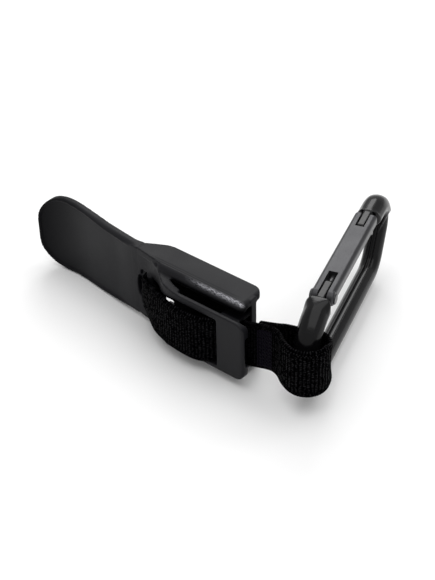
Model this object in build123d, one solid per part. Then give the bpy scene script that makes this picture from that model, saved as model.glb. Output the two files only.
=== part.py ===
from build123d import *
import os
from math import cos, radians, sin

# A slide-on clip for a handheld unit's rail: a moulded clip with a bridge at the front, a webbing strap
# anchored inside the bridge, and a snap carabiner in the strap's sewn loop. Millimetres, +Z up.
# The layout is measured from the right end of the bridge's front face (x = 0, y = 0) and the surface
# the clip stands on (z = 0). Each finished piece is then moved so that the origin lies at the open end
# of the rail channel, on the base plate's rear face, half way up.

# ---- clip moulding ----
CLIP_H = 25.0
MID_Z = CLIP_H / 2
CLIP_END_X = -3.3
ROOT_X = -45.5
BASE_Y = (8.0, 10.4)
FLANGE_Y = (5.8, 14.3)
FLANGE_T = 2.0
FLANGE_REAR_R = 3.5
FLANGE_END_R = 1.6
BEAD_R = 2.0
BEAD_Y = 6.05
BEAD_X = (-34.5, -5.5)
LIP_T = 1.2
LIP_H = 1.5
LIP_X = (-40.0, -8.0)
BRIDGE_T = 2.5
BRIDGE_MID_Z = 11.6
BRIDGE_SIDE = [(ROOT_X, 24.8), (-36, 23.4), (-29.5, 22.8), (-24, 21.7), (0, 21.8)]
BRIDGE_REAR_BEVEL = 1.3
CROSSBAR_X = -9.9
OPENING_Z = (2.7, 19.6)
OPENING_TOP = [(-44.2, 17.8), (-37.5, 17.3), (-31.5, 18.7), (-26, OPENING_Z[1]), (CROSSBAR_X, OPENING_Z[1])]
OPENING_BOTTOM = [(-44.2, 4.9), (-26, OPENING_Z[0]), (CROSSBAR_X, OPENING_Z[0])]
OPENING_END_X = -46.3
WINDOW_X = (-37.8, -33.0)
WINDOW_Z = (7.2, 10.45)
FOLD_POCKET_X = (-43.5, -37.3)
FOLD_POCKET_Y = 9.75
ANCHOR_BAR_XY = (-40.4, 6.9)
ANCHOR_BAR_R = 1.3
TUNNEL_WALL = 1.2
WEB_SPAN_Z = (1.2, 22.0)
RELIEF_HALF = 5.0
RELIEF_X = -2.6

# ---- release tongue ----
TONGUE_TIP_X = -89.5
TONGUE_FRONT = [(ROOT_X, 7.0), (-54, 7.9), (-66, 9.6), (-76, 10.7), (-83, 10.1), (TONGUE_TIP_X, 8.0)]
TONGUE_REAR = [(TONGUE_TIP_X, 10.6), (-83, 13.0), (-76, 13.7), (-66, 12.8), (-54, 11.5), (ROOT_X, 10.6)]
TONGUE_TOP = [(ROOT_X, 24.8), (-61, 24.8), (-73, 25.7), (TONGUE_TIP_X, 26.8)]
TONGUE_BOTTOM = [(ROOT_X, 0.2), (-54, -1.0), (-64, -1.6), (TONGUE_TIP_X, -1.4)]
TONGUE_END_R = 10.5
DISH_RIM = 0.8
DISH_DEPTH = 0.55
CATCH_X = (-53.5, -50.0)
CATCH_H = 1.2
CATCH_W = 10.0

# ---- strap ----
STRAP_W = 16.0
STRAP_T = 1.3
STRAP_MID_Z = 11.1
STRAP_EXIT = (-1.4, 5.6)
LOOP_MID_Z = 14.5
BEND_XY = (0.6, 5.9)
LOOP_XY = (17.3, 6.7)
LOOP_R = 6.4
LOOP_CUPPED_HALF = 6.4
SEAM_XY = (6.0, 5.9)
STITCH_X = (1.5, 4.9)
STITCH_ROWS = 5
STITCH_W = 0.5
STITCH_PROUD = 0.25
STITCH_INSET = 1.2

# ---- carabiner, drawn with its length along s and then turned to its own heading ----
CARABINER_HEADING = 107.5
CARABINER_XY = (17.26, 5.44)
CARABINER_H = 28.4
FRAME_W = 7.6
FRAME_ROUND = 1.9
SPINE_T = 6.1
ROD_INSET = 0.03
ROD_END_INSET = 3.0
NOSE_FLARE_Z = (13.0, 21.5)
NOSE_CORNER_R = 2.0
WEB_HALF = 0.45
HOOK_R = 14.2
HOOK_OUT_S = -2.2
HOOK_T = 5.2
HOOK_IN_R = 6.5
SHOULDER_S = 12.9
NOSE_S = 58.2
NOSE_R = 10.5
BEND_R = 11.0
BEND_IN_R = 5.0
NOSE_IN_R = 4.5
TOP_T = 5.4
SLOPE = 58.7
GROOVE_D = 0.9
GATE_W = 6.9
GATE_T = 4.4
GATE_END_S = 56.1
SLOT_W = 2.8
TANG_W = 2.2
HINGE_SLOT_S = 25.3
NOSE_SLOT_S = 49.3
PIVOT_S = 16.0
PIVOT_Z = 26.2
PIVOT_R = 1.0
CHEEK_R = 2.2
TANG_TIP_R = 6.3
TANG_TIP_DROP = 1.9
LATCH_S = 51.9
LATCH_Z = 25.0
LATCH_R = 0.7
PLUNGER_R = 1.0
PLUNGER_S = (22.4, 29.0)
PLUNGER_TRAVEL = 0.8
BORE_END_S = 35.0
SPRING_WIRE = 0.3
SPRING_TURNS = 7
PIN_CLEARANCE = 0.05
TIGHT = 0.01

ROW_ORIGIN = (CLIP_END_X, BASE_Y[1], MID_Z)


def box(x, y, z):
    """A box between two limits on each axis."""
    centre = Pos((x[0] + x[1]) / 2, (y[0] + y[1]) / 2, (z[0] + z[1]) / 2)
    return centre * Box(abs(x[1] - x[0]), abs(y[1] - y[0]), abs(z[1] - z[0]))


def upright(outline, z):
    """A plan outline extruded between two heights."""
    return Pos(0, 0, z[0]) * extrude(outline, z[1] - z[0])


def across(outline, y):
    """An outline drawn in x and z, extruded between two depths."""
    return extrude(Plane((0, y[1], 0), x_dir=(1, 0, 0), z_dir=(0, -1, 0)) * outline, y[1] - y[0])


def both_sides(solid):
    """The solid and its mirror image about the clip's middle height."""
    return solid + mirror(solid, Plane.XY.offset(MID_Z))


def closed(*edges):
    return make_face(Curve() + list(edges))


# ---- clip pieces ----
def ramp(points, tangents):
    return Spline(*points, tangents=tangents)


def bridge_plan():
    """The bridge from above: it climbs from the tongue's root to the raised frame."""
    front = ramp([(ROOT_X, 7.0), (-40, 6.3), (-33, 2.5), (-26, 0)], [(1, -0.1), (1, 0)])
    rear = ramp([(-25, BRIDGE_T), (-31.5, 4.6), (-38.5, 8.6), (ROOT_X, 9.6)], [(-1, 0), (-1, 0.1)])
    nose = [
        Line((-26, 0), (-1, 0)),
        JernArc((-1, 0), (1, 0), 1.0, 90),
        Line((0, 1), (0, BRIDGE_T)),
        Line((0, BRIDGE_T), (-25, BRIDGE_T)),
    ]
    return closed(front, *nose, rear, Line((ROOT_X, 9.6), (ROOT_X, 7.0)))


def opening():
    """The strap's opening, cut through the bridge and a little way into the tongue's root."""
    left = ThreePointArc(OPENING_BOTTOM[0], (OPENING_END_X, MID_Z - 1), OPENING_TOP[0])
    return across(closed(Polyline(*OPENING_TOP, *reversed(OPENING_BOTTOM)), left), (-2, 9.6))


def bridge():
    outline = BRIDGE_SIDE + [(x, 2 * BRIDGE_MID_Z - z) for x, z in reversed(BRIDGE_SIDE)]
    radii = [0.1, 9, 9, 9, 3, 3, 9, 9, 9, 0.1]
    frame = across(make_face(FilletPolyline(*outline, radius=radii, close=True)), (-1, 12))
    solid = upright(bridge_plan(), (0, CLIP_H)) & frame
    top = BRIDGE_SIDE[-1][1] + 0.1
    rear = BRIDGE_T + 0.1
    bevel = [(BRIDGE_T - BRIDGE_REAR_BEVEL, top), (rear, top), (rear, top - 1.5 * BRIDGE_REAR_BEVEL)]
    solid -= Pos(-25, 0, 0) * extrude(Plane.YZ * make_face(Polyline(*bevel, close=True)), 26)
    relief_z = (BRIDGE_MID_Z - RELIEF_HALF, BRIDGE_MID_Z + RELIEF_HALF)
    relief = box((RELIEF_X, 1), (BRIDGE_T / 2, BRIDGE_T + 1), relief_z)
    return solid - opening() - relief


def flange():
    plan = [
        (ROOT_X, 7.0), (-37.5, FLANGE_Y[0]), (CLIP_END_X, FLANGE_Y[0]),
        (CLIP_END_X, FLANGE_Y[1]), (-38.5, FLANGE_Y[1]), (ROOT_X, 10.6),
    ]
    outline = make_face(FilletPolyline(*plan, radius=[0.1, 6, 1.0, FLANGE_REAR_R, 8, 0.1], close=True))
    profile = [(ROOT_X, 15), (CLIP_END_X, 15), (CLIP_END_X, CLIP_H), (ROOT_X, CLIP_H)]
    profile = make_face(FilletPolyline(*profile, radius=[0.1, 0.1, FLANGE_END_R, 0.1], close=True))
    solid = upright(outline, (CLIP_H - FLANGE_T, CLIP_H)) & across(profile, (0, 20))
    bead_z = CLIP_H - BEAD_R
    bead = Pos(BEAD_X[0], BEAD_Y, bead_z) * Rot(0, 90, 0) * Cylinder(
        BEAD_R, BEAD_X[1] - BEAD_X[0], align=(Align.CENTER, Align.CENTER, Align.MIN)
    )
    solid += bead
    for x in BEAD_X:
        solid += Pos(x, BEAD_Y, bead_z) * Sphere(BEAD_R)
    lip_z = CLIP_H - FLANGE_T
    return solid + box(LIP_X, (FLANGE_Y[1] - LIP_T, FLANGE_Y[1]), (lip_z - LIP_H, lip_z + 0.5))


def clip_body():
    base = box((ROOT_X, CLIP_END_X), BASE_Y, (0.1, CLIP_H - 0.1))
    base -= box(WINDOW_X, (7, 12), WINDOW_Z)
    base -= box(FOLD_POCKET_X, (7, FOLD_POCKET_Y), OPENING_Z)
    below, above = OPENING_Z[0] - 0.05, OPENING_Z[1] + 0.05
    walls = Part()
    for z in ((OPENING_Z[0] - TUNNEL_WALL, below), (above, OPENING_Z[1] + TUNNEL_WALL)):
        walls += box((CROSSBAR_X, CLIP_END_X - 0.2), (BRIDGE_T - 0.5, BASE_Y[0] + 0.2), z)
    web_plan = closed(
        ramp([(ROOT_X, 7.1), (-40, 6.4), (-33, 2.7)], [(1, -0.1), (1, -0.6)]),
        Polyline((-33, 2.7), (-33, 8.2), (ROOT_X, 8.2), (ROOT_X, 7.1)),
    )
    webs = upright(web_plan, (above, WEB_SPAN_Z[1])) + upright(web_plan, (WEB_SPAN_Z[0], below))
    bar_z = (OPENING_Z[0] - 1, OPENING_Z[1] + 1)
    bar = Pos(*ANCHOR_BAR_XY, sum(bar_z) / 2) * Cylinder(ANCHOR_BAR_R, bar_z[1] - bar_z[0])
    bar_ends = bar & upright(bridge_plan(), (0, CLIP_H))
    bar = bar & opening()
    return base + both_sides(flange()) + walls + webs + bridge() + bar + bar_ends


def release_tongue():
    plan = closed(
        Spline(*TONGUE_FRONT),
        ThreePointArc(TONGUE_FRONT[-1], (TONGUE_TIP_X - 0.5, 9.3), TONGUE_REAR[0]),
        Spline(*TONGUE_REAR),
        Line(TONGUE_REAR[-1], TONGUE_FRONT[0]),
    )

    def side_outline(inset):
        """The tongue from the front: it flares a little towards its broad round tip."""
        top = [(max(x, TONGUE_TIP_X + inset), z - inset) for x, z in TONGUE_TOP]
        bottom = [(max(x, TONGUE_TIP_X + inset), z + inset) for x, z in TONGUE_BOTTOM]
        radii = [0.1, 25, 25, TONGUE_END_R - inset, TONGUE_END_R - inset, 25, 25, 0.1]
        return make_face(FilletPolyline(*top, *reversed(bottom), radius=radii, close=True))

    solid = upright(plan, (-3, CLIP_H + 3)) & across(side_outline(0), (0, 20))
    shifted = Spline(*[(x, y + DISH_DEPTH) for x, y in TONGUE_FRONT])
    skin = closed(shifted, Polyline(shifted @ 1, (-92, 0), (ROOT_X, 0), shifted @ 0))
    dish = upright(skin, (-3, CLIP_H + 3)) & across(side_outline(DISH_RIM), (-1, 20))
    dish = dish & box((-92, ROOT_X - 3), (-1, 20), (-3, CLIP_H + 3))
    catch = closed(Polyline(
        (CATCH_X[0], 11.2), (CATCH_X[0], 11.5 + CATCH_H), (CATCH_X[1], 11.0), (CATCH_X[0], 11.2)
    ))
    return solid - dish - opening() + upright(catch, (MID_Z - CATCH_W / 2, MID_Z + CATCH_W / 2))


# ---- strap pieces ----
def ribbon(path, count):
    """A plan outline of constant strap thickness along a path."""
    steps = [k / count for k in range(count + 1)]
    sides = []
    for reach in (STRAP_T / 2, -STRAP_T / 2):
        edge = []
        for step in steps:
            heading = path % step
            edge.append(path @ step + Vector(-heading.Y, heading.X) * reach)
        sides.append(Spline(*edge))
    near, far = sides
    return closed(near, far, Line(near @ 0, far @ 0), Line(near @ 1, far @ 1))


def strap_anchor():
    """The single layer from the exit to the anchor bar, with its end folded round the bar."""
    bar_x, bar_y = ANCHOR_BAR_XY
    wrap_r = ANCHOR_BAR_R + STRAP_T / 2 + 0.1
    arrive = (-0.856, 0.517)
    touch = (bar_x - arrive[1] * wrap_r, bar_y + arrive[0] * wrap_r)
    slack = Spline(
        STRAP_EXIT, (-10.6, 3.75), (-12.7, 0.6), (-17, -1.4), (-24.5, -1.3), (-31, 0.0), (-36, 1.9), touch,
        tangents=[(-1, -0.1), arrive],
    )
    fold = CenterArc(ANCHOR_BAR_XY, wrap_r, 302, -212)
    strap_z = (STRAP_MID_Z - STRAP_W / 2, STRAP_MID_Z + STRAP_W / 2)
    band = upright(ribbon(slack, 28), strap_z) + upright(ribbon(fold, 8), strap_z)
    edge = [(-44, 5.2), (-41, 5.8), (-37.5, 6.0), (-32.5, 8.0), (2, 8.0)]
    pinch = [(x, STRAP_MID_Z + h) for x, h in edge] + [(x, STRAP_MID_Z - h) for x, h in reversed(edge)]
    return band & across(make_face(Polyline(*pinch, close=True)), (-5, 15))


def strap_loop():
    """The sewn stem and the teardrop loop that holds the carabiner."""
    outer = Pos(*LOOP_XY) * Circle(LOOP_R) + Pos(*SEAM_XY) * Circle(STRAP_T)
    outer = make_hull(outer.edges())
    seam = Pos(SEAM_XY[0] + 2.4, SEAM_XY[1] + 0.1) * Circle(0.2)
    inner = Sketch() + [Pos(*LOOP_XY) * Circle(LOOP_R - STRAP_T), seam]
    inner = make_hull(inner.edges())
    stem_x = (BEND_XY[0] + SEAM_XY[0]) / 2
    stem = Pos(stem_x, BEND_XY[1]) * Rectangle(SEAM_XY[0] - BEND_XY[0], 2 * STRAP_T)
    end = Pos(*BEND_XY) * Circle(STRAP_T)
    band = upright(outer + stem + end - inner, (LOOP_MID_Z - STRAP_W / 2, LOOP_MID_Z + STRAP_W / 2))
    edge = [(-1, STRAP_W / 2), (6, STRAP_W / 2), (9, LOOP_CUPPED_HALF), (15, LOOP_CUPPED_HALF)]
    cupped = [(y, LOOP_MID_Z + h) for y, h in edge] + [(y, LOOP_MID_Z - h) for y, h in reversed(edge)]
    return band & Pos(-5, 0, 0) * extrude(Plane.YZ * make_face(Polyline(*cupped, close=True)), 35)


def loop_stitching():
    """Rows of bar-tack thread through both layers of the stem, proud of each face."""
    rows = []
    pitch = (STITCH_X[1] - STITCH_X[0]) / (STITCH_ROWS - 1)
    length = (LOOP_MID_Z - STRAP_W / 2 + STITCH_INSET, LOOP_MID_Z + STRAP_W / 2 - STITCH_INSET)
    for row in range(STITCH_ROWS):
        x = STITCH_X[0] + row * pitch
        for side in (-1, 1):
            face = BEND_XY[1] + side * STRAP_T
            rows.append(box((x - STITCH_W / 2, x + STITCH_W / 2), (face, face + side * STITCH_PROUD), length))
    return Compound(children=[row.solid() for row in rows])


# ---- carabiner pieces, in (s, across, z) ----
def placed(solid):
    return Pos(*CARABINER_XY, 0) * Rot(0, 0, CARABINER_HEADING) * solid


def slope_point(z, offset):
    """The point at height z on the sloping upper part of the spine, offset outwards from its centre."""
    along = (z - 4.4) / sin(radians(SLOPE))
    s = 64.6 + along * cos(radians(SLOPE))
    return s + offset / sin(radians(SLOPE)), z


def mirrored(outline):
    """A face between a line of (along, reach) points and its mirror image across the axis."""
    return make_face(Polyline(*outline, *[(a, -reach) for a, reach in reversed(outline)], close=True))


def frame_ring():
    """The frame's bent bar as a closed ring, before the gate's gap is cut."""
    half = SPINE_T / 2
    under = CARABINER_H - TOP_T
    inside_s = HOOK_OUT_S + HOOK_T
    centre_s = HOOK_OUT_S + HOOK_R
    hook = ThreePointArc((centre_s, CARABINER_H), (HOOK_OUT_S, HOOK_R), (centre_s, 0))
    run = FilletPolyline(
        (centre_s, 0), slope_point(0, half), slope_point(CARABINER_H, half), (centre_s, CARABINER_H),
        radius=[BEND_R, NOSE_R],
    )
    inner = [(inside_s, under), (inside_s, SPINE_T), slope_point(SPINE_T, -half), slope_point(under, -half)]
    inner_radii = [HOOK_IN_R, HOOK_IN_R, BEND_IN_R, NOSE_IN_R]
    hollow = make_face(FilletPolyline(*inner, radius=inner_radii, close=True))
    ring = across(closed(hook, run) - hollow, (-FRAME_W / 2, FRAME_W / 2))
    flat_sides = ring.faces().filter_by(Axis.Y)
    return fillet(flat_sides.edges(), FRAME_ROUND)


def spine_rod():
    """The round stretch of the bar: along the spine, up its slope and over the nose."""
    half = SPINE_T / 2
    top_z = CARABINER_H - half
    path = FilletPolyline(
        (9, half), slope_point(half, 0), slope_point(top_z, 0), (NOSE_S + ROD_END_INSET, top_z),
        radius=[BEND_R - half, NOSE_R - half],
    )
    path = Plane.XZ * path
    return sweep(Plane(path @ 0, z_dir=path % 0) * Circle(half - ROD_INSET), path)


def groove():
    """The shallow channel along the spine's inner face."""
    offset = SPINE_T / 2 - GROOVE_D
    floor_z = SPINE_T - GROOVE_D
    ends = (slope_point(19, -offset), slope_point(19, -offset - 4))
    floor = FilletPolyline((15, floor_z), slope_point(floor_z, -offset), ends[0], radius=BEND_IN_R + GROOVE_D)
    return across(closed(floor, Polyline(floor @ 1, ends[1], (56, 10), (15, 10), floor @ 0)), (-0.75, 0.75))


def carabiner_frame():
    wide = FRAME_W / 2 + 0.1
    ring = frame_ring()
    taper = [(-6, wide + 1), (12, wide), (22, WEB_HALF), (52, WEB_HALF)]
    near = upright(mirrored(taper), (-1, CARABINER_H + 1))
    head_plan = Pos(SHOULDER_S - 15, 0) * RectangleRounded(30, FRAME_W, NOSE_CORNER_R)
    near = near & (box((-5, 60), (-5, 5), (-1, 15.5)) + upright(head_plan, (15, CARABINER_H + 1)))
    solid = ring & near
    rise = [(-1, WEB_HALF), (NOSE_FLARE_Z[0], WEB_HALF), (NOSE_FLARE_Z[1], wide), (CARABINER_H + 1, wide)]
    far = extrude(Plane((51, 0, 0), x_dir=(0, 0, 1), z_dir=(1, 0, 0)) * mirrored(rise), 35)
    nose_plan = Pos(NOSE_S + 15, 0) * RectangleRounded(30, FRAME_W, NOSE_CORNER_R)
    far = far & (box((51, 90), (-5, 5), (-1, 15.5)) + upright(nose_plan, (15, CARABINER_H + 1)))
    solid = solid + (ring & far) + spine_rod()
    solid -= box((SHOULDER_S, NOSE_S), (-5, 5), (15, CARABINER_H + 1))
    solid -= groove()
    tang = across(Pos(PIVOT_S, PIVOT_Z - TANG_TIP_DROP) * Circle(TANG_TIP_R), (-TANG_W / 2, TANG_W / 2))
    tang = tang & box((SHOULDER_S - 3, 30), (-5, 5), (24.2, 28.2))
    nose = box((50.1, NOSE_S + 2), (-TANG_W / 2, TANG_W / 2), (24.3, 28.2))
    notch = box((LATCH_S - 1.0, LATCH_S + 1.0), (-3, 3), (23, LATCH_Z + 1.0))
    nose = fillet(nose.edges().filter_by(Axis.Y).group_by(Axis.X)[0], 0.6) - notch
    eye = Pos(PIVOT_S, 0, PIVOT_Z) * Rot(90, 0, 0) * Cylinder(PIVOT_R + PIN_CLEARANCE, 10)
    return solid + tang + nose - eye


def carabiner_gate():
    z = (CARABINER_H - GATE_T, CARABINER_H)
    bar = box((PIVOT_S, GATE_END_S), (-GATE_W / 2, GATE_W / 2), z)
    lengthwise = bar.edges().filter_by(Axis.X)
    bar = fillet(lengthwise.group_by(Axis.Z)[-1], 1.2)
    bar = fillet(bar.edges().filter_by(Axis.X).group_by(Axis.Z)[0], 1.8)
    knuckle = Pos(PIVOT_S, 0, PIVOT_Z) * Rot(90, 0, 0) * Cylinder(CHEEK_R, GATE_W)
    knuckle = fillet(knuckle.edges().filter_by(GeomType.CIRCLE), 0.8)
    hinge_slot = box((PIVOT_S - 4, HINGE_SLOT_S), (-SLOT_W / 2, SLOT_W / 2), (20, 30))
    nose_slot = box((NOSE_SLOT_S, GATE_END_S + 1), (-SLOT_W / 2, SLOT_W / 2), (20, 30))
    bore_len = BORE_END_S - HINGE_SLOT_S + 1
    bore = Rot(0, 90, 0) * Cylinder(PLUNGER_R + PIN_CLEARANCE, bore_len)
    bore = Pos(BORE_END_S - bore_len / 2, 0, PIVOT_Z) * bore
    pin_hole = Rot(90, 0, 0) * Cylinder(PIVOT_R + TIGHT, 10)
    latch_hole = Rot(90, 0, 0) * Cylinder(LATCH_R + TIGHT, 10)
    solid = bar + knuckle - hinge_slot - nose_slot - bore
    return solid - Pos(PIVOT_S, 0, PIVOT_Z) * pin_hole - Pos(LATCH_S, 0, LATCH_Z) * latch_hole


def gate_pivot_pin():
    pin = Pos(PIVOT_S, 0, PIVOT_Z) * Rot(90, 0, 0) * Cylinder(PIVOT_R, GATE_W)
    for side in (-1, 1):
        head = Rot(90 * side, 0, 0) * (Cylinder(1.6, 0.4, align=(Align.CENTER, Align.CENTER, Align.MIN)))
        head = fillet(head.edges().group_by(Axis.Y)[0 if side > 0 else -1], 0.3)
        pin += Pos(PIVOT_S, -side * GATE_W / 2, PIVOT_Z) * head
    return pin


def gate_latch_pin():
    return Pos(LATCH_S, 0, LATCH_Z) * Rot(90, 0, 0) * Cylinder(LATCH_R, GATE_W - 0.2)


def gate_plunger():
    length = PLUNGER_S[1] - PLUNGER_S[0]
    return Pos(sum(PLUNGER_S) / 2, 0, PIVOT_Z) * Rot(0, 90, 0) * Cylinder(PLUNGER_R, length)


def gate_spring():
    """The coil behind the plunger, at the length it has with the gate fully open."""
    start = PLUNGER_S[1] + PLUNGER_TRAVEL + SPRING_WIRE
    length = BORE_END_S - SPRING_WIRE - start
    radius = PLUNGER_R - SPRING_WIRE / 2 - 0.05
    path = Helix(length / SPRING_TURNS, length, radius)
    section = Plane(path @ 0, z_dir=path % 0) * Circle(SPRING_WIRE / 2)
    coil = sweep(section, path)
    return Pos(start, 0, PIVOT_Z) * Rot(0, 90, 0) * coil


PIECES = {
    "clip_body": clip_body(),
    "release_tongue": release_tongue(),
    "strap_anchor": strap_anchor(),
    "strap_loop": strap_loop(),
    "loop_stitching": loop_stitching(),
    "carabiner_frame": placed(carabiner_frame()),
    "carabiner_gate": placed(carabiner_gate()),
    "gate_pivot_pin": placed(gate_pivot_pin()),
    "gate_latch_pin": placed(gate_latch_pin()),
    "gate_plunger": placed(gate_plunger()),
    "gate_spring": placed(gate_spring()),
}

to_row = Pos(-ROW_ORIGIN[0], -ROW_ORIGIN[1], -ROW_ORIGIN[2])
os.makedirs("parts", exist_ok=True)
for name, piece in PIECES.items():
    export_step(to_row * piece, f"parts/{name}.step")
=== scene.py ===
import bpy
import math
import numpy as np
from mathutils import Matrix, Vector


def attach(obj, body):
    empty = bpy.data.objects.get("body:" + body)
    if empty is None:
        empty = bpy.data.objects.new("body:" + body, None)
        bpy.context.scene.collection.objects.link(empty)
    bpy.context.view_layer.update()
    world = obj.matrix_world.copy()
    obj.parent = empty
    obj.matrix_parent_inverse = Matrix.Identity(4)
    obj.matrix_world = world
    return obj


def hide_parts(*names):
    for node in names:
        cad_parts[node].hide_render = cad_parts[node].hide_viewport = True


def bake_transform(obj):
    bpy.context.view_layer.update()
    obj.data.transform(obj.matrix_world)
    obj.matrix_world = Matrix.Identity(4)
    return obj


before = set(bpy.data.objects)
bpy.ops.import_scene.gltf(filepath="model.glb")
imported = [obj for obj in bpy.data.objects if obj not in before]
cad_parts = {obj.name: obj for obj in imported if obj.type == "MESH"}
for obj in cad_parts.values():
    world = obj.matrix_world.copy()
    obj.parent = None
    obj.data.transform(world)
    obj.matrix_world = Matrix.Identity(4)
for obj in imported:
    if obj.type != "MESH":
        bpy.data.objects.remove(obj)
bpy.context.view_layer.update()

# The layout below is in millimetres, measured from the right end of the bridge's front face and the
# surface that the clip stands on. ROW_ORIGIN is the row frame's origin in that layout.
ROW_ORIGIN = np.array([-3.3, 10.4, 12.5])
MM = 0.001
FLOOR_Z = -14.1 * MM


def row(points):
    """Layout millimetres to row-frame metres."""
    return (np.atleast_2d(np.asarray(points, float)) - ROW_ORIGIN) * MM


def layout(points):
    return np.asarray(points, float) / MM + ROW_ORIGIN


def smoothstep(low, high, x):
    t = np.clip((np.asarray(x, float) - low) / (high - low), 0, 1)
    return t * t * (3 - 2 * t)


# ---------------------------------------------------------------- camera and studio
CAM_FOCAL_PX = 1423.0
CAM_ELEVATION = math.radians(37.668)
CAM_AZIMUTH = math.radians(40.252)
CAM_ROLL = math.radians(-1.367)
CAM_OFFSET = Vector((7.415, 27.828, 409.011))
IMAGE_LONG_SIDE_PX = 580
SENSOR_MM = 36.0


def add_camera():
    ca, sa = math.cos(CAM_AZIMUTH), math.sin(CAM_AZIMUTH)
    ce, se = math.cos(CAM_ELEVATION), math.sin(CAM_ELEVATION)
    ahead = Vector((-sa, ca, 0))
    up = Vector((0, 0, 1))
    rows = Matrix((Vector((ca, sa, 0)), -(ahead * se + up * ce), ahead * ce - up * se))
    c, s = math.cos(CAM_ROLL), math.sin(CAM_ROLL)
    view = Matrix(((c, -s, 0), (s, c, 0), (0, 0, 1))) @ rows
    place = -(view.transposed() @ CAM_OFFSET)
    data = bpy.data.cameras.new("camera")
    data.sensor_width = SENSOR_MM
    data.lens = CAM_FOCAL_PX * SENSOR_MM / IMAGE_LONG_SIDE_PX
    data.clip_start = 0.01
    data.clip_end = 20
    camera = bpy.data.objects.new("camera", data)
    bpy.context.scene.collection.objects.link(camera)
    turn = Matrix((view[0], -view[1], -view[2])).transposed()
    camera.matrix_world = Matrix.Translation(Vector(row(place)[0])) @ turn.to_4x4()
    bpy.context.scene.camera = camera


FLOOR_HALF = 3.0
WORLD_STRENGTH = 0.62
SUBJECT = (0, 0.02, 0)
SOFTBOXES = (
    ("back_softbox", (-0.46, 0.62, 0.60), (0.5, 0.36), 2.4),
    ("overhead", (0.15, 0.1, 1.1), (1.4, 1.4), 9.0),
)


def add_area(name, place, size, power):
    """A rectangular light aimed at the subject; place and size in metres, power in watts."""
    data = bpy.data.lights.new(name, "AREA")
    data.shape = "RECTANGLE"
    data.size, data.size_y = size
    data.energy = power
    light = bpy.data.objects.new(name, data)
    light.location = place
    light.rotation_euler = (Vector(SUBJECT) - Vector(place)).to_track_quat("-Z", "Y").to_euler()
    bpy.context.scene.collection.objects.link(light)


def add_studio():
    mesh = bpy.data.meshes.new("floor")
    corners = [(x * FLOOR_HALF, y * FLOOR_HALF, FLOOR_Z) for x, y in ((-1, -1), (1, -1), (1, 1), (-1, 1))]
    mesh.from_pydata(corners, [], [(0, 1, 2, 3)])
    floor = bpy.data.objects.new("floor", mesh)
    bpy.context.scene.collection.objects.link(floor)
    paper = bpy.data.materials.new("studio_paper")
    paper.use_nodes = True
    shader = paper.node_tree.nodes["Principled BSDF"]
    shader.inputs["Base Color"].default_value = (0.92, 0.92, 0.92, 1)
    shader.inputs["Roughness"].default_value = 0.9
    shader.inputs["Specular IOR Level"].default_value = 0.1
    mesh.materials.append(paper)
    world = bpy.data.worlds.new("studio")
    world.use_nodes = True
    world.node_tree.nodes["Background"].inputs["Color"].default_value = (1, 1, 1, 1)
    world.node_tree.nodes["Background"].inputs["Strength"].default_value = WORLD_STRENGTH
    bpy.context.scene.world = world
    for softbox in SOFTBOXES:
        add_area(*softbox)
    bpy.context.scene.view_settings.view_transform = "Standard"
    bpy.context.scene.view_settings.look = "None"


# ---------------------------------------------------------------- materials
def new_material(name, colour, roughness, metallic=0.0):
    material = bpy.data.materials.new(name)
    material.use_nodes = True
    shader = material.node_tree.nodes["Principled BSDF"]
    shader.inputs["Base Color"].default_value = (*colour, 1)
    shader.inputs["Roughness"].default_value = roughness
    shader.inputs["Metallic"].default_value = metallic
    return material, material.node_tree, shader


def attribute(tree, name):
    """The value painted on the mesh under this name."""
    node = tree.nodes.new("ShaderNodeAttribute")
    node.attribute_name = name
    return node.outputs["Fac"]


def position(tree, scale=(1, 1, 1), turn=(0, 0, 0)):
    """Object coordinates, stretched so that the pattern can run along the piece."""
    coordinates = tree.nodes.new("ShaderNodeTexCoord")
    mapping = tree.nodes.new("ShaderNodeMapping")
    mapping.inputs["Scale"].default_value = scale
    mapping.inputs["Rotation"].default_value = turn
    tree.links.new(coordinates.outputs["Object"], mapping.inputs["Vector"])
    return mapping.outputs["Vector"]


def noise(tree, vector, scale, detail=3.0, roughness=0.5):
    node = tree.nodes.new("ShaderNodeTexNoise")
    node.inputs["Scale"].default_value = scale
    node.inputs["Detail"].default_value = detail
    node.inputs["Roughness"].default_value = roughness
    tree.links.new(vector, node.inputs["Vector"])
    return node.outputs["Fac"]


def ramp(tree, value, low, high, colour_low, colour_high):
    node = tree.nodes.new("ShaderNodeValToRGB")
    node.color_ramp.elements[0].position = low
    node.color_ramp.elements[0].color = colour_low
    node.color_ramp.elements[1].position = high
    node.color_ramp.elements[1].color = colour_high
    tree.links.new(value, node.inputs["Fac"])
    return node.outputs["Color"]


def spread(tree, value, from_low, from_high, to_low, to_high):
    node = tree.nodes.new("ShaderNodeMapRange")
    node.inputs["From Min"].default_value = from_low
    node.inputs["From Max"].default_value = from_high
    node.inputs["To Min"].default_value = to_low
    node.inputs["To Max"].default_value = to_high
    tree.links.new(value, node.inputs["Value"])
    return node.outputs["Result"]


def bump(tree, shader, height, distance, strength):
    node = tree.nodes.new("ShaderNodeBump")
    node.inputs["Strength"].default_value = strength
    node.inputs["Distance"].default_value = distance
    tree.links.new(height, node.inputs["Height"])
    tree.links.new(node.outputs["Normal"], shader.inputs["Normal"])


def combine(tree, operation, a, b):
    node = tree.nodes.new("ShaderNodeMath")
    node.operation = operation
    for socket, value in zip(node.inputs, (a, b)):
        if isinstance(value, (int, float)):
            socket.default_value = value
        else:
            tree.links.new(value, socket)
    return node.outputs["Value"]


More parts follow.
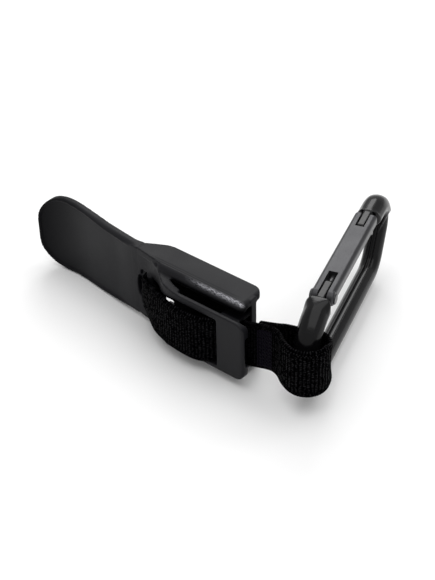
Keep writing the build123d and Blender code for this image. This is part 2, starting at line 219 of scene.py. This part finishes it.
def mix_colour(tree, factor, a, b):
    node = tree.nodes.new("ShaderNodeMix")
    node.data_type = "RGBA"
    tree.links.new(factor, node.inputs["Factor"])
    for socket, value in ((node.inputs["A"], a), (node.inputs["B"], b)):
        if isinstance(value, tuple):
            socket.default_value = value
        else:
            tree.links.new(value, socket)
    return node.outputs["Result"]


# The tones are linear colours; sizes of grain are noise scales per metre, bumps are in metres.
# painted shade colour, used in the recess behind the bridge and towards the tongue's tip
PAINTED_SHADE_BLACK = (0.0012, 0.0012, 0.0016, 1)
SCUFF = (0.42, 0.42, 0.45, 1)
# the plastic's specular level, and the lower level that the painted shade leaves in the recess
PLASTIC_SHEEN = 0.145
RECESS_SHADE_SPECULAR = 0.02
# painted shade at the tongue's tip: the share of the plain tone and reflection left at the tip, and the x
# range in metres over which it fades out
TIP_SHADE_FACTOR = 0.40
TIP_SHADE_X = (-0.084, -0.066)


def plastic_material():
    """Fine-textured black moulding: scuffed where wear is painted; painted shade makes it darker and less
    reflective in the recess and towards the tip.
    """
    material, tree, shader = new_material("moulded_plastic", (0.010, 0.010, 0.012), 0.46)
    where = position(tree)
    grain = noise(tree, where, 5200, 2)
    cloud = noise(tree, where, 90, 3)
    base = ramp(tree, cloud, 0.3, 0.75, (0.0056, 0.0056, 0.0071, 1), (0.0082, 0.0082, 0.0100, 1))
    speck = noise(tree, position(tree, (1.0, 2.4, 2.4)), 1500, 4, 0.75)
    worn = combine(tree, "MULTIPLY", attribute(tree, "wear"), spread(tree, speck, 0.42, 0.56, 0.0, 1.0))
    # painted shade: towards the tongue's tip the colour darkens and the reflection weakens
    tip_shade_axis = tree.nodes.new("ShaderNodeSeparateXYZ")
    tree.links.new(tree.nodes.new("ShaderNodeTexCoord").outputs["Object"], tip_shade_axis.inputs["Vector"])
    tip_shade = spread(tree, tip_shade_axis.outputs["X"], *TIP_SHADE_X, TIP_SHADE_FACTOR, 1.0)
    base = mix_colour(tree, tip_shade, PAINTED_SHADE_BLACK, base)
    # painted shade in the recess behind the bridge's arms: darker colour and weaker reflection
    recess_shade = attribute(tree, "recess_shade")
    specular_with_shade = spread(tree, recess_shade, 0.0, 1.0, PLASTIC_SHEEN, RECESS_SHADE_SPECULAR)
    tree.links.new(combine(tree, "MULTIPLY", tip_shade, specular_with_shade), shader.inputs["Specular IOR Level"])
    base = mix_colour(tree, recess_shade, base, PAINTED_SHADE_BLACK)
    tree.links.new(mix_colour(tree, worn, base, SCUFF), shader.inputs["Base Color"])
    rough = spread(tree, cloud, 0.3, 0.7, 0.42, 0.50)
    rough = combine(tree, "SUBTRACT", rough, combine(tree, "MULTIPLY", worn, 0.18))
    tree.links.new(rough, shader.inputs["Roughness"])
    bump(tree, shader, grain, 0.00004, 0.35)
    return material


def webbing_material():
    """Black webbing: the yarns' crowns are painted lighter as painted highlight and the gaps between them
    stay black as painted shade.
    """
    material, tree, shader = new_material("black_webbing", (0.006, 0.006, 0.007), 0.55)
    patch = noise(tree, position(tree), 1500, 2)
    lit = combine(tree, "MULTIPLY", attribute(tree, "crown"), spread(tree, patch, 0.36, 0.64, 0.45, 1.25))
    # painted highlight and painted shade: the base colour is lighter and more reflective on the yarns'
    # crowns and near black in the gaps between them
    base = ramp(tree, lit, 0.40, 1.0, (0.0001, 0.0001, 0.0002, 1), (0.0062, 0.0060, 0.0070, 1))
    tree.links.new(base, shader.inputs["Base Color"])
    tree.links.new(spread(tree, lit, 0.55, 1.05, 0.0, 0.075), shader.inputs["Specular IOR Level"])
    fibre = noise(tree, position(tree, (1, 6, 1)), 9000, 2)
    tree.links.new(spread(tree, fibre, 0.3, 0.7, 0.42, 0.66), shader.inputs["Roughness"])
    bump(tree, shader, fibre, 0.00003, 0.5)
    return material


def thread_material():
    """Near-black bar-tack thread with a faint violet cast and a visible twist."""
    material, tree, shader = new_material("bar_tack_thread", (0.004, 0.002, 0.006), 0.6)
    shader.inputs["Specular IOR Level"].default_value = 0.08
    twist = noise(tree, position(tree, (1, 1, 3)), 7000, 2)
    base = ramp(tree, twist, 0.3, 0.7, (0.0010, 0.0004, 0.0030, 1), (0.0034, 0.0022, 0.0068, 1))
    tree.links.new(base, shader.inputs["Base Color"])
    bump(tree, shader, twist, 0.00004, 0.5)
    return material


HEADING = math.radians(107.5)


def coated_metal(name, dark, light, roughness, ior, metallic, streak):
    """Black-plated metal; fine streaks run along the carabiner's length."""
    material, tree, shader = new_material(name, light, roughness[1], metallic)
    shader.inputs["IOR"].default_value = ior
    along = position(tree, (streak, 1, streak), (0, 0, math.pi / 2 - HEADING))
    lines = noise(tree, along, 900, 3, 0.6)
    cloud = noise(tree, position(tree), 140, 2)
    tree.links.new(ramp(tree, cloud, 0.3, 0.7, (*dark, 1), (*light, 1)), shader.inputs["Base Color"])
    tree.links.new(spread(tree, lines, 0.3, 0.7, *roughness), shader.inputs["Roughness"])
    bump(tree, shader, lines, 0.00002, 0.2)
    return material


def dress(node, material):
    """Gives a carried-over CAD node a better material through its slots."""
    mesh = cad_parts[node].data
    if not mesh.materials:
        mesh.materials.append(material)
    for index in range(len(mesh.materials)):
        mesh.materials[index] = material


# ---------------------------------------------------------------- mesh helpers
def add_mesh(name, vertices, faces, material):
    mesh = bpy.data.meshes.new(name)
    points = [tuple(v) for v in np.asarray(vertices, float)]
    mesh.from_pydata(points, [], [tuple(int(i) for i in face) for face in faces])
    mesh.polygons.foreach_set("use_smooth", [True] * len(mesh.polygons))
    mesh.materials.append(material)
    mesh.update()
    piece = bpy.data.objects.new(name, mesh)
    bpy.context.scene.collection.objects.link(piece)
    return piece


def coordinates_of(mesh):
    flat = np.empty(len(mesh.vertices) * 3)
    mesh.vertices.foreach_get("co", flat)
    return flat.reshape(-1, 3)


def set_coordinates(mesh, points):
    mesh.vertices.foreach_set("co", np.asarray(points, float).ravel())
    mesh.update()


def paint(mesh, name, values):
    """Stores one value per vertex for a material to read."""
    layer = mesh.attributes.new(name, "FLOAT", "POINT")
    layer.data.foreach_set("value", np.asarray(values).astype(np.float32).ravel())


def apply_modifiers(piece):
    graph = bpy.context.evaluated_depsgraph_get()
    mesh = bpy.data.meshes.new_from_object(piece.evaluated_get(graph))
    piece.modifiers.clear()
    piece.data = mesh


def softened(name, nodes, material, voxel, steps, move=None):
    """The nodes' surfaces joined, remeshed finely and relaxed so that every edge is soft."""
    points, faces = [], []
    for node in nodes:
        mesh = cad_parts[node].data
        co = layout(coordinates_of(mesh))
        if move:
            co = move(node, co)
        start = sum(len(p) for p in points)
        points.append(co)
        faces += [tuple(i + start for i in polygon.vertices) for polygon in mesh.polygons]
    piece = add_mesh(name, row(np.vstack(points)), faces, material)
    remesh = piece.modifiers.new("remesh", "REMESH")
    remesh.mode = "VOXEL"
    remesh.voxel_size = voxel * 1
    soften = piece.modifiers.new("soften", "SMOOTH")
    soften.factor = 0.5
    soften.iterations = steps
    bpy.context.view_layer.update()
    apply_modifiers(piece)
    piece.data.polygons.foreach_set("use_smooth", [True] * len(piece.data.polygons))
    if not piece.data.materials:
        piece.data.materials.append(material)
    return piece


# ---------------------------------------------------------------- the clip's one moulding
ROOT_X = -45.5
MID_Z = 12.5
TONGUE_TIP_X = -89.5
TONGUE_HALF_T = 1.7
TONGUE_TOP = [(TONGUE_TIP_X, 26.8), (-73, 25.7), (-61, 24.8), (ROOT_X, 24.8)]
TONGUE_BOTTOM = [(TONGUE_TIP_X, -1.4), (-64, -1.6), (-54, -1.0), (ROOT_X, 0.2)]
TONGUE_MIDDLE = [(TONGUE_TIP_X, 9.3), (-83, 11.55), (-76, 12.2), (-66, 11.2), (-54, 9.7), (ROOT_X, 8.8)]
EDGE_DROP = 0.6
DISH_END_X = -48.5
DISH_FADE = 9
BRIDGE_RAMP = [(ROOT_X, 7.0), (-40, 6.3), (-33, 2.5), (-26, 0.0)]
# each parting groove: where it lies in y, how deep it is and how wide
PARTING_GROOVES = ((6.1, 0.16, 0.22), (6.75, 0.10, 0.2))
WEAR_Y = 5.1
ROOT_OVERLAP = 0.8
MOULD_VOXEL = 0.00024
SMOOTH_STEPS = 7


def along_line(x, stations):
    """The value at each x of a line given as (x, value) stations."""
    return np.interp(x, *zip(*stations))


def bell(values, centre, width):
    return np.exp(-(((values - centre) / width) ** 2))


def into_clip(node, co):
    """Runs the tongue's root a little way into the clip so that the two close up."""
    if node == "release_tongue":
        co[co[:, 0] > ROOT_X - 0.01, 0] += ROOT_OVERLAP
    return co


def run_out_dish(co):
    """Lets the tongue's shallow dish run out smoothly towards the root."""
    from_root = ROOT_X - co[:, 0]
    front = 7.0 + 0.088 * from_root + 0.0021 * from_root**2
    depth = co[:, 1] - front
    fade = smoothstep(DISH_END_X - DISH_FADE, DISH_END_X, co[:, 0])
    fade *= smoothstep(1.2, 0.7, depth) * (depth > 0)
    fade *= smoothstep(ROOT_X, DISH_END_X + 1, co[:, 0])
    co[:, 1] -= depth * fade


def round_tongue_edges(co):
    """Rounds the tongue's long edges; its outline flares towards the tip."""
    x, z = co[:, 0], co[:, 2]
    margin = np.minimum(along_line(x, TONGUE_TOP) - z, z - along_line(x, TONGUE_BOTTOM))
    off_middle = np.clip(np.abs(co[:, 1] - along_line(x, TONGUE_MIDDLE)) / TONGUE_HALF_T, 0, 1)
    drop = EDGE_DROP * off_middle**2.2 * smoothstep(2.2, 0.1, margin) * smoothstep(-46, -50, x)
    co[:, 2] -= np.sign(z - MID_Z) * drop


def cut_parting_grooves(co, side):
    """The thin parting lines where the rounded front edge meets the flange."""
    on_edge = smoothstep(11.6, 12.0, side) * smoothstep(-42, -36, co[:, 0]) * smoothstep(-5, -9, co[:, 0])
    groove = sum(depth * bell(co[:, 1], y, width) for y, depth, width in PARTING_GROOVES)
    co[:, 2] -= np.sign(co[:, 2] - MID_Z) * on_edge * groove


def moulding(material):
    """One seamless moulding over the clip body and its tongue, with soft edges."""
    nodes = ["clip_body", "release_tongue"]
    piece = softened("clip_moulding", nodes, material, MOULD_VOXEL, SMOOTH_STEPS, into_clip)
    mesh = piece.data
    co = layout(coordinates_of(mesh))
    side = np.abs(co[:, 2] - MID_Z)
    run_out_dish(co)
    round_tongue_edges(co)
    cut_parting_grooves(co, side)
    set_coordinates(mesh, row(co))
    x, y, z = co.T
    wear = smoothstep(-36, -6, x) * bell(y, WEAR_Y, 0.5)
    paint(mesh, "wear", wear * (smoothstep(11.0, 11.8, side) * smoothstep(-27, -18, x)))
    # painted shade: the recess behind the bridge's arms, between the flanges, and the lower front of the
    # flange's rounded edge are painted darker
    behind = y - along_line(x, BRIDGE_RAMP)
    recess_shade = smoothstep(2.5, 3.3, behind) * smoothstep(24.0, 22.5, z) * smoothstep(2.1, 2.8, z)
    paint(mesh, "recess_shade", recess_shade * smoothstep(8.6, 8.2, y))
    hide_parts("clip_body", "release_tongue")
    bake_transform(piece)
    return piece


# ---------------------------------------------------------------- carabiner
# Profile lines are in (along the carabiner, height); each runs HOOK_R or NOSE_R inside the outer face.
CARABINER_XY = np.array([17.26, 5.44])
HALF_WIDTH = 3.8
ROD_HALF = 3.05
HOOK_R = 14.2
HOOK_CENTRES = [(40.0, HOOK_R), (12.0, HOOK_R)]
HOOK_CROWN = 1.9
NOSE_R = 10.5
NOSE_CENTRES = [(50.0, 17.9), (64.1, 17.9), (53.7, 0.8)]
NOSE_CROWN = 1.6
NOSE_START = 56.0
BAR_VOXEL = 0.00022
BAR_SMOOTH_STEPS = 5


def towards_line(points, line):
    """Offsets from each point to the nearest place on a polyline."""
    best = np.full((len(points), 2), 1e9)
    for a, b in zip(np.array(line[:-1]), np.array(line[1:])):
        t = np.clip(((points - a) @ (b - a)) / ((b - a) @ (b - a)), 0, 1)
        offset = a + t[:, None] * (b - a) - points
        nearer = np.linalg.norm(offset, axis=1) < np.linalg.norm(best, axis=1)
        best[nearer] = offset[nearer]
    return best


def crowned(co):
    """Crowns the outer face of the hook and of the nose, so that both are round in section."""
    along_axis = np.array([math.cos(HEADING), math.sin(HEADING)])
    across_axis = np.array([-along_axis[1], along_axis[0]])
    flat = co[:, :2] - CARABINER_XY
    s, across, z = flat @ along_axis, flat @ across_axis, co[:, 2]
    profile = np.stack([s, z], 1)
    amount = np.clip(np.abs(across) / HALF_WIDTH, 0, 1) ** 2
    in_hook = smoothstep(12.5, 8.5, s)
    in_nose = smoothstep(9.0, 20.0, z) * smoothstep(NOSE_START, NOSE_START + 4, s)
    for line, radius, depth, weight in (
        (HOOK_CENTRES, HOOK_R, HOOK_CROWN, in_hook),
        (NOSE_CENTRES, NOSE_R, NOSE_CROWN, in_nose),
    ):
        offset = towards_line(profile, line)
        distance = np.linalg.norm(offset, axis=1)
        outer = smoothstep(radius - 5.2, radius - 0.2, distance)
        push = depth * amount * outer * weight / np.maximum(distance, 1e-6)
        profile = profile + offset * push[:, None]
    # the nose widens evenly out of the round bar
    reach = ROD_HALF + (HALF_WIDTH - ROD_HALF) * smoothstep(11.0, 24.0, z)
    reach = np.where(s > NOSE_START, reach, HALF_WIDTH + 1)
    across = np.clip(across, -reach, reach)
    moved = profile[:, :1] * along_axis + across[:, None] * across_axis + CARABINER_XY
    return np.column_stack([moved, profile[:, 1]])


def carabiner_bar(material):
    """The forged bar, relaxed from the CAD piece and crowned at both ends."""
    piece = softened("carabiner_bar", ["carabiner_frame"], material, BAR_VOXEL, BAR_SMOOTH_STEPS)
    set_coordinates(piece.data, row(crowned(layout(coordinates_of(piece.data)))))
    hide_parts("carabiner_frame")
    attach(piece, "carabiner")


# ---------------------------------------------------------------- webbing
STRAP_T = 1.3
STRAP_HALF = 8.0
RIB_PITCH = 1.05
YARN_PITCH = 0.34
YARN_REACH = 0.27
YARN_LIFT = 0.11
YARN_ROUND = 0.12
SELVAGE_W = 1.25
SELVAGE_PITCH = 0.80
SELVAGE_SPLIT = 0.55
SELVAGE_BEAD = 0.26
EDGE_BEAD = 0.18
EDGE_ROUND = 0.45
INNER_RELIEF = 0.6
PINCH = 2.2
CUP_NARROWING = 1.5
CUP_BOW = 0.5
BAR = (-40.4, 6.9)
WRAP_R = 2.05
SLACK = [
    (-36, 1.9), (-31, 0.0), (-24.5, -1.3), (-17, -1.4),
    (-12.9, 0.5), (-10.2, 3.6), (-6.0, 5.2), (-1.4, 5.35),
]
STEM = [(1.6, 5.25), (4.4, 5.2), (7.0, 5.0), (9.8, 4.0), (12.6, 2.15)]
LOOP_CENTRE = (17.3, 6.7)
LOOP_R = 6.02
RETURN = [(13.8, 11.78), (10.6, 9.2), (7.6, 7.2), (4.6, 6.6), (1.0, 6.55)]


def strap_level(x):
    """Height of the strap's middle line: it climbs between the bridge and the loop."""
    return 10.7 + 0.4 * smoothstep(-26, -38, x) + 3.8 * smoothstep(-7, 9, x)


def arc(centre, radius, first, last, count):
    angles = np.radians(np.linspace(first, last, count))
    return [(centre[0] + radius * math.cos(a), centre[1] + radius * math.sin(a)) for a in angles]


def smooth_line(controls, spacing):
    """A Catmull-Rom line through the controls, resampled evenly."""
    pts = np.array(controls, float)
    pts = np.vstack([2 * pts[0] - pts[1], pts, 2 * pts[-1] - pts[-2]])
    out = []
    for k in range(1, len(pts) - 2):
        p0, p1, p2, p3 = pts[k - 1:k + 3]
        for t in np.linspace(0, 1, 40, endpoint=False):
            out.append(0.5 * (2 * p1 + (p2 - p0) * t + (2 * p0 - 5 * p1 + 4 * p2 - p3) * t**2
                              + (3 * p1 - p0 - 3 * p2 + p3) * t**3))
    out.append(pts[-2])
    out = np.array(out)
    length = np.concatenate([[0], np.cumsum(np.linalg.norm(np.diff(out, axis=0), axis=1))])
    count = int(length[-1] / spacing) + 1
    at = np.linspace(0, length[-1], count)
    return np.stack([np.interp(at, length, out[:, i]) for i in range(2)], 1), at


def weave(u, v, half):
    """Height of the warp-faced weave: yarns float over one rib and dive under the next."""
    best = np.full(np.broadcast(u, v).shape, -1.0)
    nearest = np.round(v / YARN_PITCH)
    for step in (-1, 0, 1):
        yarn = nearest + step
        lift = YARN_LIFT * np.cos(np.pi * (u / RIB_PITCH + yarn))
        across = np.clip(1 - ((v - yarn * YARN_PITCH) / YARN_REACH) ** 2, 0, 1)
        best = np.maximum(best, lift + YARN_ROUND * np.sqrt(across))
    # two rows of beads run along each selvage, half a pitch apart
    margin = half - np.abs(v)
    inner_row = margin > SELVAGE_SPLIT
    border = smoothstep(SELVAGE_W, SELVAGE_W - 0.25, margin)
    shift = np.where(inner_row, 0.0, 0.5)
    bead = SELVAGE_BEAD * np.abs(np.sin(np.pi * (u / SELVAGE_PITCH + shift))) ** 0.9
    bead *= np.clip(1 - ((margin - np.where(inner_row, 0.82, 0.28)) / 0.34) ** 2, 0, 1) ** 0.5
    return best * (1 - border) + (bead - 0.02) * border


def strap_section(n_face, n_edge=7):
    """Points round the strap's section: place across, side (+1 outer, -1 inner) and edge bulge."""
    face = np.linspace(-1, 1, n_face)
    edge = np.linspace(-np.pi / 2, np.pi / 2, n_edge + 2)[1:-1]
    place = np.concatenate([face, 1 + 0 * edge, -face, -1 + 0 * edge])
    side = np.concatenate([np.ones(n_face), -np.sin(edge), -np.ones(n_face), np.sin(edge)])
    bulge = np.concatenate([np.zeros(n_face), np.cos(edge), np.zeros(n_face), -np.cos(edge)])
    return place[None, :], side[None, :], bulge[None, :]


def webbing(material):
    """One strip of woven webbing, from the anchor bar out through the bridge and round the loop."""
    controls = [(BAR[0] + 0.3, BAR[1] + WRAP_R)] + arc(BAR, WRAP_R, 100, 232, 5) + SLACK + STEM
    controls += arc(LOOP_CENTRE, LOOP_R, -105, 112, 9) + RETURN
    line, along = smooth_line(controls, 0.17)
    heading = np.gradient(line, axis=0)
    heading /= np.linalg.norm(heading, axis=1)[:, None]
    x, y, u = line[:, :1], line[:, 1:], along[:, None]

    # the strap is pinched at the anchor bar, and narrows and bows where it cups the carabiner
    in_clip = u < along[-1] * 0.55
    half = STRAP_HALF - PINCH * (smoothstep(-33, -40, x) * in_clip)
    cup = smoothstep(7.5, 11.0, y) * ~in_clip
    half = half - CUP_NARROWING * cup

    place, side, bulge = strap_section(190)
    on_edge = np.abs(side) < 0.99
    bead = EDGE_BEAD * np.abs(np.sin(np.pi * (u / SELVAGE_PITCH + 0.25)))
    relief = np.where(on_edge, 0.06, weave(u, place * half, half))
    lift = side * (STRAP_T / 2 + relief * np.where(side > 0, 1.0, INNER_RELIEF) - 0.08)
    lift = lift + CUP_BOW * cup * place**2
    rise = place * (half - EDGE_ROUND) + bulge * (0.42 + bead * on_edge)
    px = x + heading[:, 1:] * lift
    py = y - heading[:, :1] * lift
    pz = strap_level(x) + rise

    rows, cols = px.shape
    vertices = np.stack([px, py, pz], -1).reshape(-1, 3)
    index = np.arange(rows * cols).reshape(rows, cols)
    right = np.roll(index, -1, axis=1)
    quads = np.stack([index[:-1], right[:-1], right[1:], index[1:]], -1).reshape(-1, 4)
    caps = [tuple(index[0][::-1]), tuple(index[-1])]
    piece = add_mesh("webbing", row(vertices), [tuple(q) for q in quads] + caps, material)
    # the crown value drives the painted highlight on the yarns' crowns and the painted shade in the gaps
    lit = np.where(on_edge, bead * 6.0 - 0.1, (relief - 0.05) / 0.17)
    paint(piece.data, "crown", np.clip(lit, 0, 1))
    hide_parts("strap_anchor", "strap_loop")
    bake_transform(piece)
    return piece


STITCH_COLUMNS = np.linspace(1.8, 6.8, 9)
STITCH_BOTTOM = -6.9
STITCH_TOP = 5.6
STITCH_STAGGER = 0.35
STITCH_SPAN = 1.15
STITCH_GAP = 0.12
FLOAT_LIFT = 0.20
THREAD_W = 0.21
THREAD_T = 0.13
THREAD_SIDES = 6
THREAD_STEPS = 7


def add_float(vertices, faces, rng, x, centre, side, z, span):
    """One thread float: a short arched tube, closed at both ends."""
    start = len(vertices)
    for k in range(THREAD_STEPS):
        t = k / (THREAD_STEPS - 1)
        lift = FLOAT_LIFT * math.sin(math.pi * t) - 0.02
        for s in range(THREAD_SIDES):
            a = 2 * math.pi * s / THREAD_SIDES
            vertices.append((
                x + THREAD_W * math.cos(a) + 0.04 * (rng.random() - 0.5),
                centre + side * (lift + THREAD_T * math.sin(a) + 0.08),
                z + span * t,
            ))
    rings = [[start + k * THREAD_SIDES + s for s in range(THREAD_SIDES)] for k in range(THREAD_STEPS)]
    for low, high in zip(rings, rings[1:]):
        for s in range(THREAD_SIDES):
            after = (s + 1) % THREAD_SIDES
            faces.append((low[s], low[after], high[after], high[s]))
    faces.append(tuple(rings[0][::-1]))
    faces.append(tuple(rings[-1]))


def stitching(material):
    """Bar-tack rows: short thread floats, dipping into the webbing at each end."""
    rng = np.random.default_rng(7)
    vertices, faces = [], []
    for side, stem in ((-1, STEM), (1, RETURN[::-1])):
        for column, x in enumerate(STITCH_COLUMNS):
            centre = along_line(x, stem) + side * STRAP_T / 2
            level = float(strap_level(x))
            z = level + STITCH_BOTTOM + STITCH_STAGGER * (column % 2)
            while z < level + STITCH_TOP:
                span = STITCH_SPAN + 0.1 * rng.random()
                add_float(vertices, faces, rng, x, centre, side, z, span)
                z += span + STITCH_GAP
    piece = add_mesh("bar_tack", row(vertices), faces, material)
    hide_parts("loop_stitching")
    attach(piece, "strap")
    return piece


add_camera()
add_studio()
moulding(plastic_material())
webbing(webbing_material())
stitching(thread_material())
plated = coated_metal(
    "black_nickel", (0.002, 0.002, 0.0025), (0.004, 0.004, 0.0045), (0.14, 0.24), 1.30, 0.0, 5
)
brushed = coated_metal(
    "brushed_nickel", (0.030, 0.030, 0.033), (0.042, 0.042, 0.045), (0.26, 0.40), 1.40, 0.5, 9
)
steel = coated_metal(
    "dark_pin_steel", (0.03, 0.03, 0.032), (0.05, 0.05, 0.052), (0.22, 0.34), 1.42, 0.6, 2
)
carabiner_bar(plated)
dress("carabiner_gate", brushed)
for pin in ("gate_pivot_pin", "gate_latch_pin", "gate_plunger", "gate_spring"):
    dress(pin, steel)
